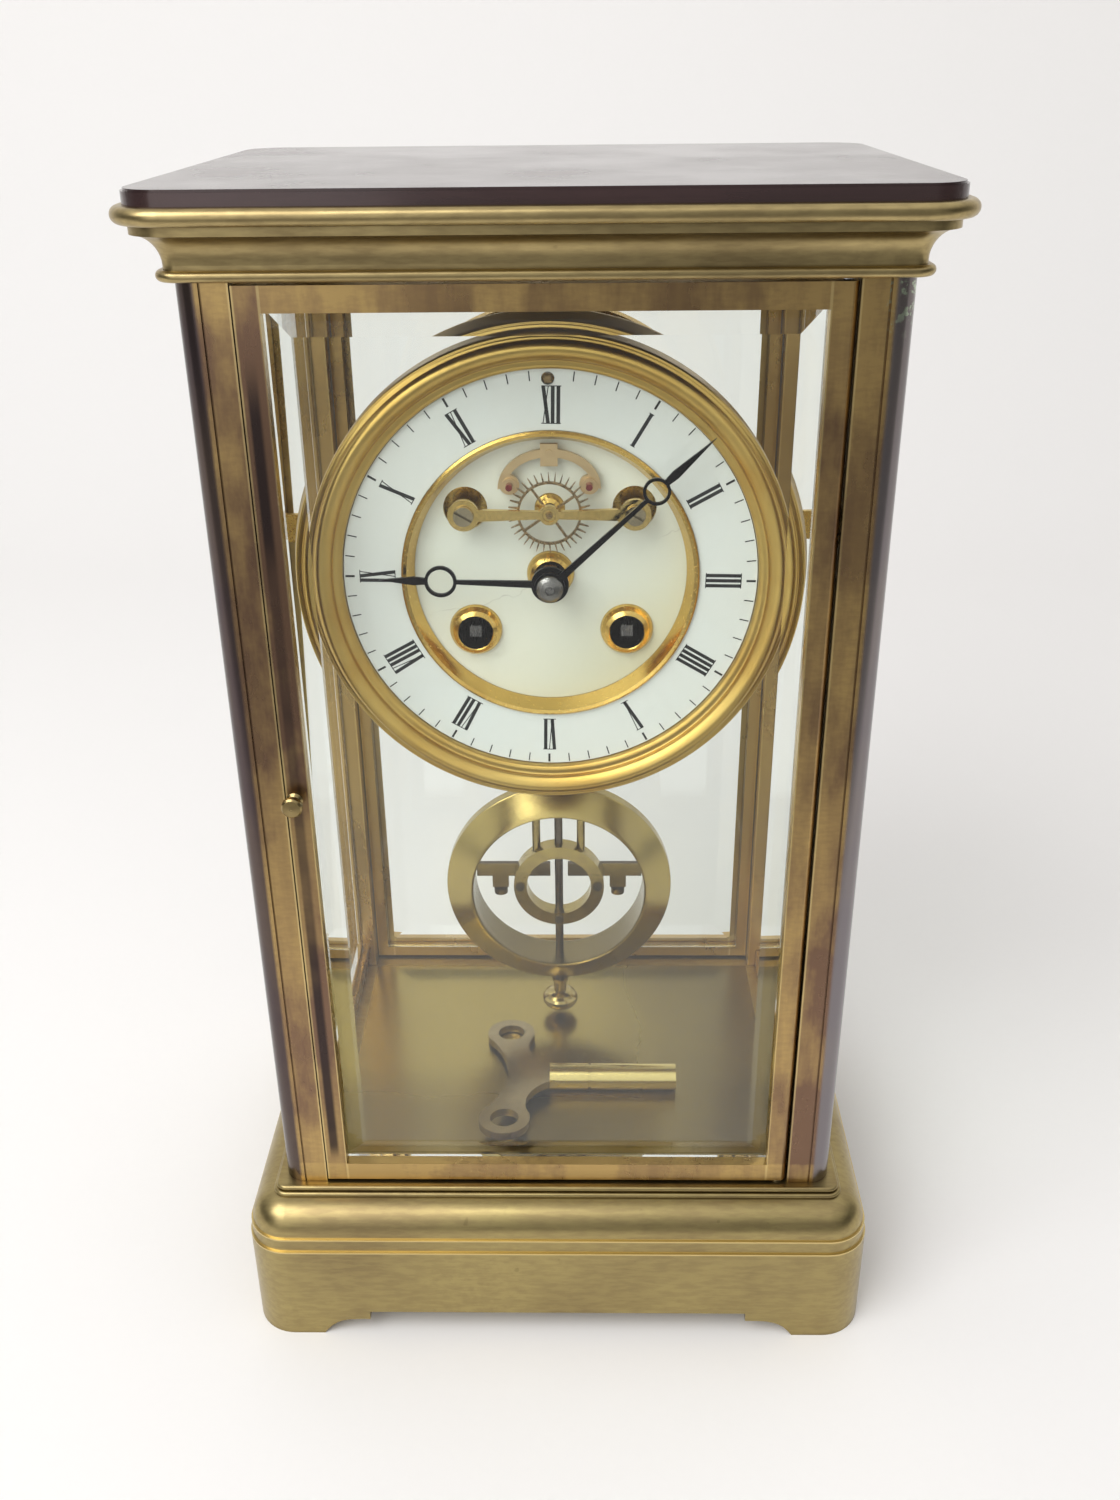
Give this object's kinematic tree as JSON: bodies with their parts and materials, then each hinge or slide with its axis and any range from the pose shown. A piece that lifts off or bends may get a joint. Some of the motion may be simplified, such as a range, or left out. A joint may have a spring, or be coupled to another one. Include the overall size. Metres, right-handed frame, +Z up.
{
  "type": "crystal regulator clock",
  "caption": "Four-glass brass mantel clock with bevelled panes, a visible escapement on its enamel dial, a striking movement and a compensated ring pendulum.",
  "frame": {"origin": "middle of the base, on the surface that the feet stand on", "axes": "+X to the right of the dial, +Y from the dial towards the back, +Z up"},
  "size_m": [0.1652, 0.1318, 0.29],
  "materials": {
    "case_brass": "aged satin brass",
    "floor_brass": "polished aged brass",
    "patinated_brass": "brown patinated brass",
    "top_bronze": "dark glossy bronzed brass",
    "bevelled_glass": "clear bevelled",
    "steel": "polished steel",
    "gilt_brass": "bright gilt brass",
    "enamel": "white vitreous enamel",
    "blued_steel": "dark blued",
    "ruby": "polished jewel",
    "bell_metal": "polished bell metal",
    "pendulum_brass": "lacquered brass",
    "key_brass": "worn brass"
  },
  "bodies": {
    "root": {"base_plinth": "case_brass", "base_moulding": "case_brass", "floor_plate": "floor_brass", "front_pillars": "patinated_brass", "rear_pillars": "patinated_brass", "cornice": "case_brass", "top_plate": "top_bronze", "side_rails": "patinated_brass", "side_glasses": "bevelled_glass", "hinge_pins": "steel", "movement_brackets": "gilt_brass", "bezel": "gilt_brass", "dial_plate": "gilt_brass", "chapter_ring": "enamel", "inner_ring": "gilt_brass", "dial_centre": "enamel", "dial_collets": "gilt_brass", "front_plate": "gilt_brass", "back_plate": "gilt_brass", "plate_pillars": "gilt_brass", "escape_cock": "gilt_brass", "cock_screws": "steel", "bell": "bell_metal", "bell_stand": "steel", "suspension_cock": "gilt_brass", "suspension_spring": "steel"},
    "front_door": {"front_door_frame": "patinated_brass", "front_door_glass": "bevelled_glass"},
    "front_latch": {"front_latch": "gilt_brass"},
    "rear_door": {"rear_door_frame": "patinated_brass", "rear_door_glass": "bevelled_glass"},
    "rear_latch": {"rear_latch": "gilt_brass"},
    "minute_hand": {"cannon_pinion": "steel", "minute_hand": "blued_steel", "hand_nut": "steel"},
    "hour_hand": {"hour_wheel": "gilt_brass", "hour_hand": "blued_steel"},
    "minute_wheel": {"minute_wheel": "gilt_brass"},
    "escape_wheel": {"escape_wheel": "gilt_brass"},
    "third_wheel": {"third_wheel": "gilt_brass"},
    "centre_wheel": {"centre_wheel": "gilt_brass"},
    "intermediate_wheel": {"intermediate_wheel": "gilt_brass"},
    "going_barrel": {"going_barrel": "gilt_brass", "going_mainspring": "steel"},
    "going_arbor": {"going_arbor": "steel"},
    "strike_arbor": {"strike_arbor": "steel"},
    "fly": {"fly": "steel"},
    "pin_wheel": {"pin_wheel": "gilt_brass"},
    "strike_second_wheel": {"strike_second_wheel": "gilt_brass"},
    "strike_barrel": {"strike_barrel": "gilt_brass", "strike_mainspring": "steel"},
    "hammer": {"hammer": "steel"},
    "regulator": {"regulator_arbor": "steel"},
    "pendulum": {"pendulum_rods": "pendulum_brass", "pendulum_bob": "pendulum_brass", "compensation_frame": "pendulum_brass"},
    "pallets": {"pallet_anchor": "gilt_brass", "pallet_jewels": "ruby"},
    "rating_nut": {"rating_nut": "pendulum_brass"},
    "winding_key": {"winding_key": "key_brass"}
  },
  "joints": [
    {"name": "front_door_swing", "type": "hinge", "parent": "root", "child": "front_door", "pos_m": [0.0582, -0.0531, 0.0456], "axis": [0, 0, 1], "range_deg": [0, 90]},
    {"name": "front_latch_turn", "type": "hinge", "parent": "front_door", "child": "front_latch", "pos_m": [-0.05855, -0.0553, 0.1596], "axis": [0, 1, 0], "range_deg": [0, 90]},
    {"name": "rear_door_swing", "type": "hinge", "parent": "root", "child": "rear_door", "pos_m": [-0.0582, 0.0531, 0.0456], "axis": [0, 0, 1], "range_deg": [0, 90]},
    {"name": "rear_latch_turn", "type": "hinge", "parent": "rear_door", "child": "rear_latch", "pos_m": [0.05855, 0.0553, 0.1596], "axis": [0, -1, 0], "range_deg": [0, 90]},
    {"name": "minute_hand_turn", "type": "hinge", "parent": "root", "child": "minute_hand", "pos_m": [0, -0.025, 0.206], "axis": [0, 1, 0], "continuous": true},
    {"name": "hour_hand_turn", "type": "hinge", "parent": "root", "child": "hour_hand", "pos_m": [0, -0.025, 0.206], "axis": [0, 1, 0], "continuous": true},
    {"name": "minute_wheel_turn", "type": "hinge", "parent": "root", "child": "minute_wheel", "pos_m": [0, -0.025, 0.19592], "axis": [0, 1, 0], "continuous": true},
    {"name": "escape_wheel_turn", "type": "hinge", "parent": "root", "child": "escape_wheel", "pos_m": [0, -0.025, 0.2213], "axis": [0, 1, 0], "continuous": true},
    {"name": "third_wheel_turn", "type": "hinge", "parent": "root", "child": "third_wheel", "pos_m": [-0.01174, -0.025, 0.21434], "axis": [0, 1, 0], "continuous": true},
    {"name": "centre_wheel_turn", "type": "hinge", "parent": "root", "child": "centre_wheel", "pos_m": [0, -0.025, 0.206], "axis": [0, 1, 0], "continuous": true},
    {"name": "intermediate_wheel_turn", "type": "hinge", "parent": "root", "child": "intermediate_wheel", "pos_m": [0.01365, -0.025, 0.21145], "axis": [0, 1, 0], "continuous": true},
    {"name": "going_barrel_turn", "type": "hinge", "parent": "root", "child": "going_barrel", "pos_m": [0.0174, -0.025, 0.1925], "axis": [0, 1, 0], "continuous": true},
    {"name": "going_winding", "type": "hinge", "parent": "root", "child": "going_arbor", "pos_m": [0.0174, -0.025, 0.1925], "axis": [0, 1, 0], "range_deg": [0, 1800]},
    {"name": "strike_winding", "type": "hinge", "parent": "root", "child": "strike_arbor", "pos_m": [-0.0174, -0.025, 0.1925], "axis": [0, 1, 0], "range_deg": [0, 1800]},
    {"name": "fly_turn", "type": "hinge", "parent": "root", "child": "fly", "pos_m": [-0.01746, -0.025, 0.22867], "axis": [0, 1, 0], "continuous": true},
    {"name": "pin_wheel_turn", "type": "hinge", "parent": "root", "child": "pin_wheel", "pos_m": [-0.02601, -0.025, 0.2215], "axis": [0, 1, 0], "continuous": true},
    {"name": "strike_second_wheel_turn", "type": "hinge", "parent": "root", "child": "strike_second_wheel", "pos_m": [-0.02982, -0.025, 0.2073], "axis": [0, 1, 0], "continuous": true},
    {"name": "strike_barrel_turn", "type": "hinge", "parent": "root", "child": "strike_barrel", "pos_m": [-0.0174, -0.025, 0.1925], "axis": [0, 1, 0], "continuous": true},
    {"name": "hammer_lift", "type": "hinge", "parent": "root", "child": "hammer", "pos_m": [-0.036, -0.025, 0.186], "axis": [0, 1, 0], "range_deg": [-12, 0], "stiffness_Nm_per_rad": 0.02, "springref_deg": 5.73},
    {"name": "regulator_turn", "type": "hinge", "parent": "root", "child": "regulator", "pos_m": [0, -0.025, 0.2504], "axis": [0, 1, 0], "range_deg": [-360, 360]},
    {"name": "pendulum_swing", "type": "hinge", "parent": "root", "child": "pendulum", "pos_m": [0, 0.02, 0.2343], "axis": [0, 1, 0], "range_deg": [-2.5, 2.5]},
    {"name": "pallet_swing", "type": "hinge", "parent": "root", "child": "pallets", "pos_m": [0, -0.025, 0.2343], "axis": [0, 1, 0], "range_deg": [-2.5, 2.5]},
    {"name": "rating_nut_turn", "type": "hinge", "parent": "pendulum", "child": "rating_nut", "pos_m": [0, 0.02, 0.0575], "axis": [0, 0, 1], "continuous": true},
    {"name": "key_lift", "type": "slide", "parent": "root", "child": "winding_key", "axis": [0, 0, 1], "range_m": [0, 0.012]}
  ],
  "couplings": [
    {"joint": "hour_hand_turn", "follows": "minute_hand_turn", "ratio": 0.083333},
    {"joint": "minute_wheel_turn", "follows": "minute_hand_turn", "ratio": -0.33333},
    {"joint": "third_wheel_turn", "follows": "escape_wheel_turn", "ratio": -0.083333},
    {"joint": "centre_wheel_turn", "follows": "escape_wheel_turn", "ratio": 0.0075758},
    {"joint": "intermediate_wheel_turn", "follows": "escape_wheel_turn", "ratio": -0.0012626},
    {"joint": "going_barrel_turn", "follows": "escape_wheel_turn", "ratio": 0.00021044},
    {"joint": "pin_wheel_turn", "follows": "fly_turn", "ratio": -0.14815},
    {"joint": "strike_second_wheel_turn", "follows": "fly_turn", "ratio": 0.024691},
    {"joint": "strike_barrel_turn", "follows": "fly_turn", "ratio": -0.0041152},
    {"joint": "pallet_swing", "follows": "pendulum_swing", "ratio": 1}
  ]
}
